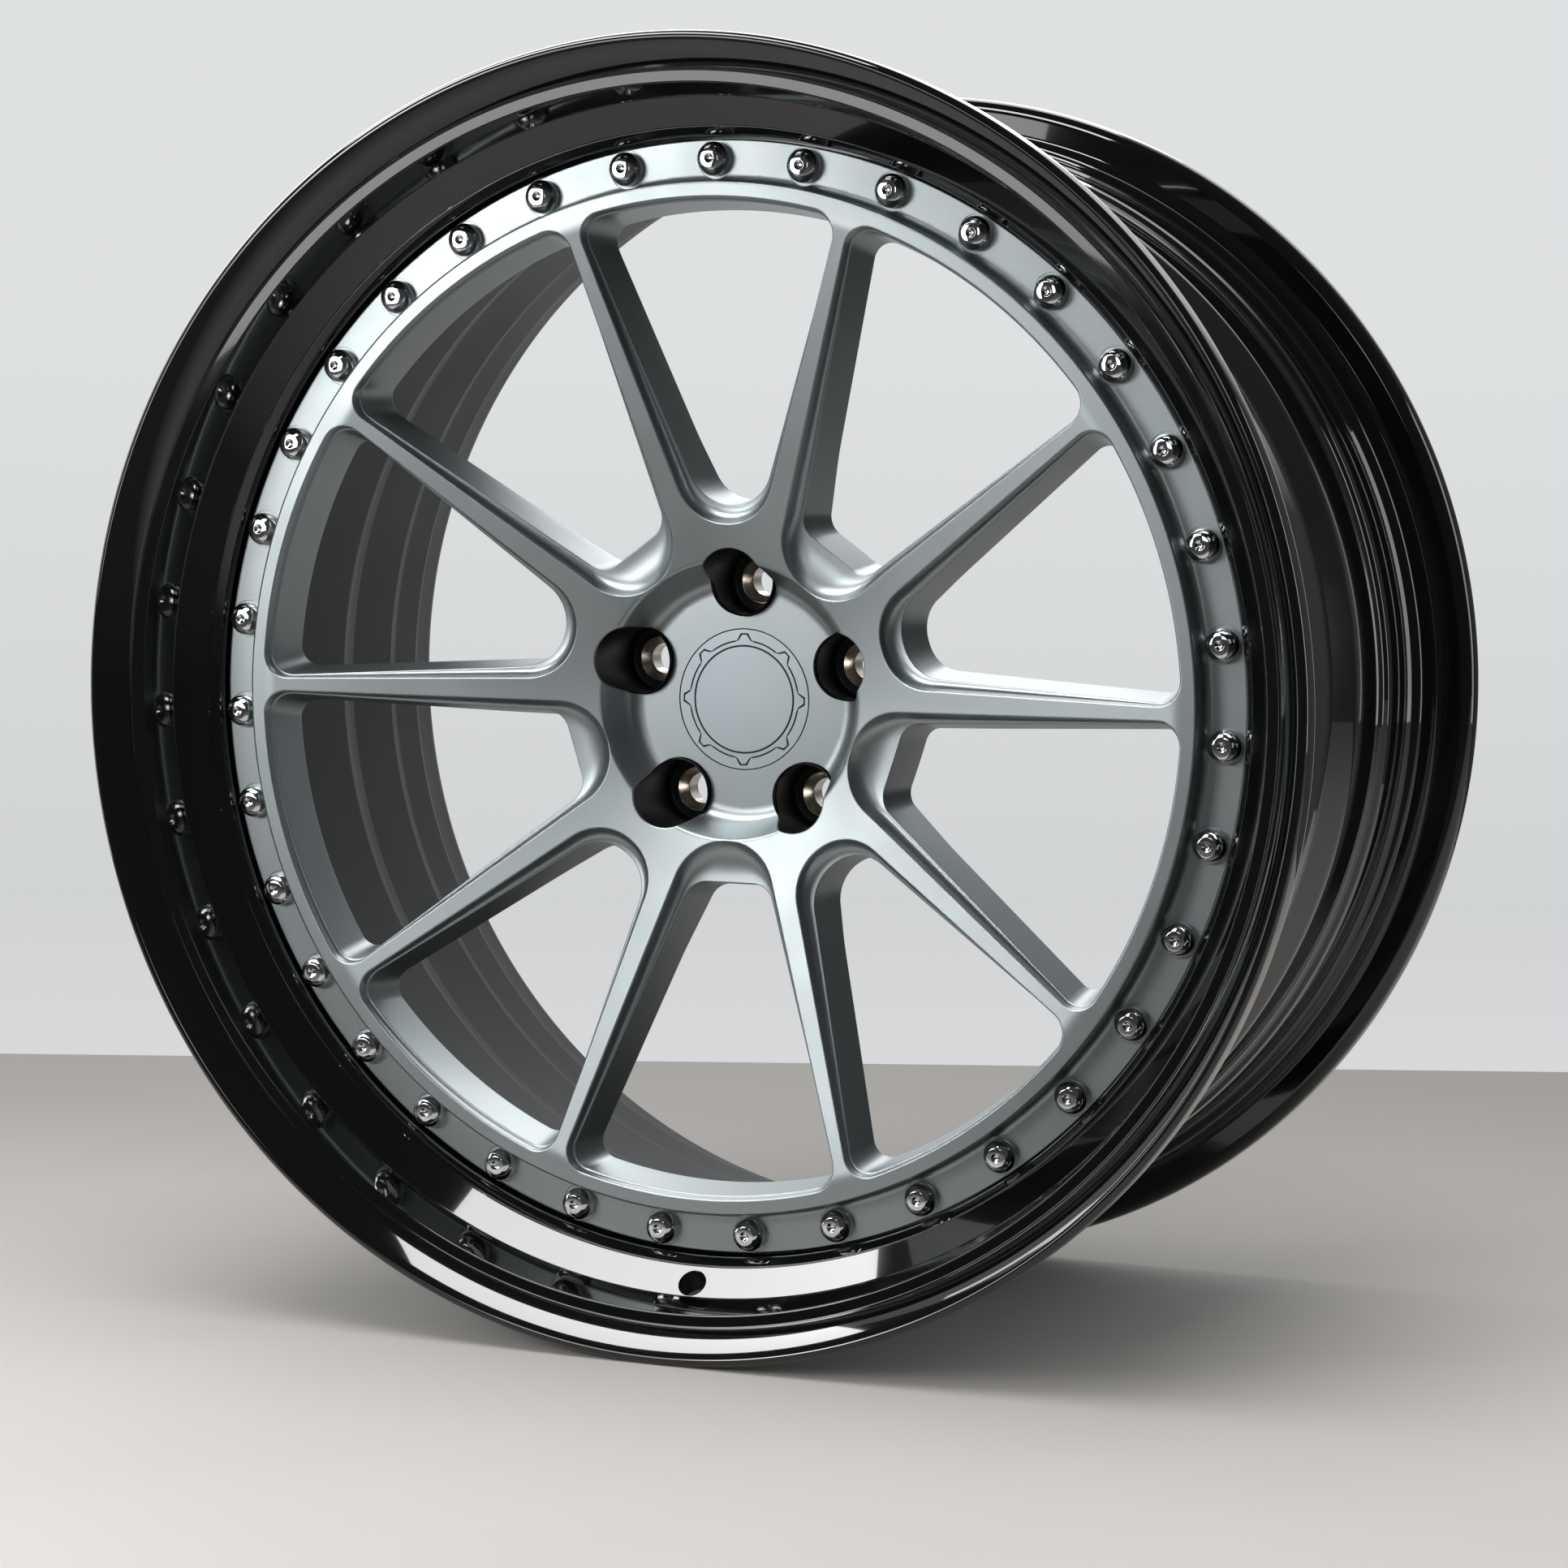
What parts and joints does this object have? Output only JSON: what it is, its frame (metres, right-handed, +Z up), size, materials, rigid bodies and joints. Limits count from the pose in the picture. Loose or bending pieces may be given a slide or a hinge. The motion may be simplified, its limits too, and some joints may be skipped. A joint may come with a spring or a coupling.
{
  "type": "split rim wheel",
  "caption": "Three-piece road wheel: scooped multi-spoke centre disc bolted between a stepped outer lip and a deep inner barrel, with a flush centre cap.",
  "frame": {"origin": "centre of the overall width on the spin axis, which is the centre of the bounding box", "axes": "+Y along the spin axis away from the street side, toward the vehicle; +Z up, through one lug hole, with the valve hole straight down; +X to the right as seen from the street side"},
  "size_m": [0.5416, 0.287, 0.5416],
  "materials": {
    "disc_finish": "satin",
    "lip_gloss": "gloss",
    "barrel_finish": "gloss",
    "sealant": "matte",
    "bolt_chrome": "polished",
    "plated_steel": "satin",
    "seat_steel": "polished"
  },
  "bodies": {
    "root": {"centre_disc": "disc_finish", "outer_lip": "lip_gloss", "inner_barrel": "barrel_finish", "sealant_ring": "sealant", "assembly_bolts": "bolt_chrome", "nut_washers": "plated_steel", "assembly_nuts": "plated_steel", "lug_seat_1": "seat_steel", "lug_seat_2": "seat_steel", "lug_seat_3": "seat_steel", "lug_seat_4": "seat_steel", "lug_seat_5": "seat_steel", "centre_cap": "disc_finish", "cap_spring_ring": "plated_steel"}
  },
  "joints": []
}
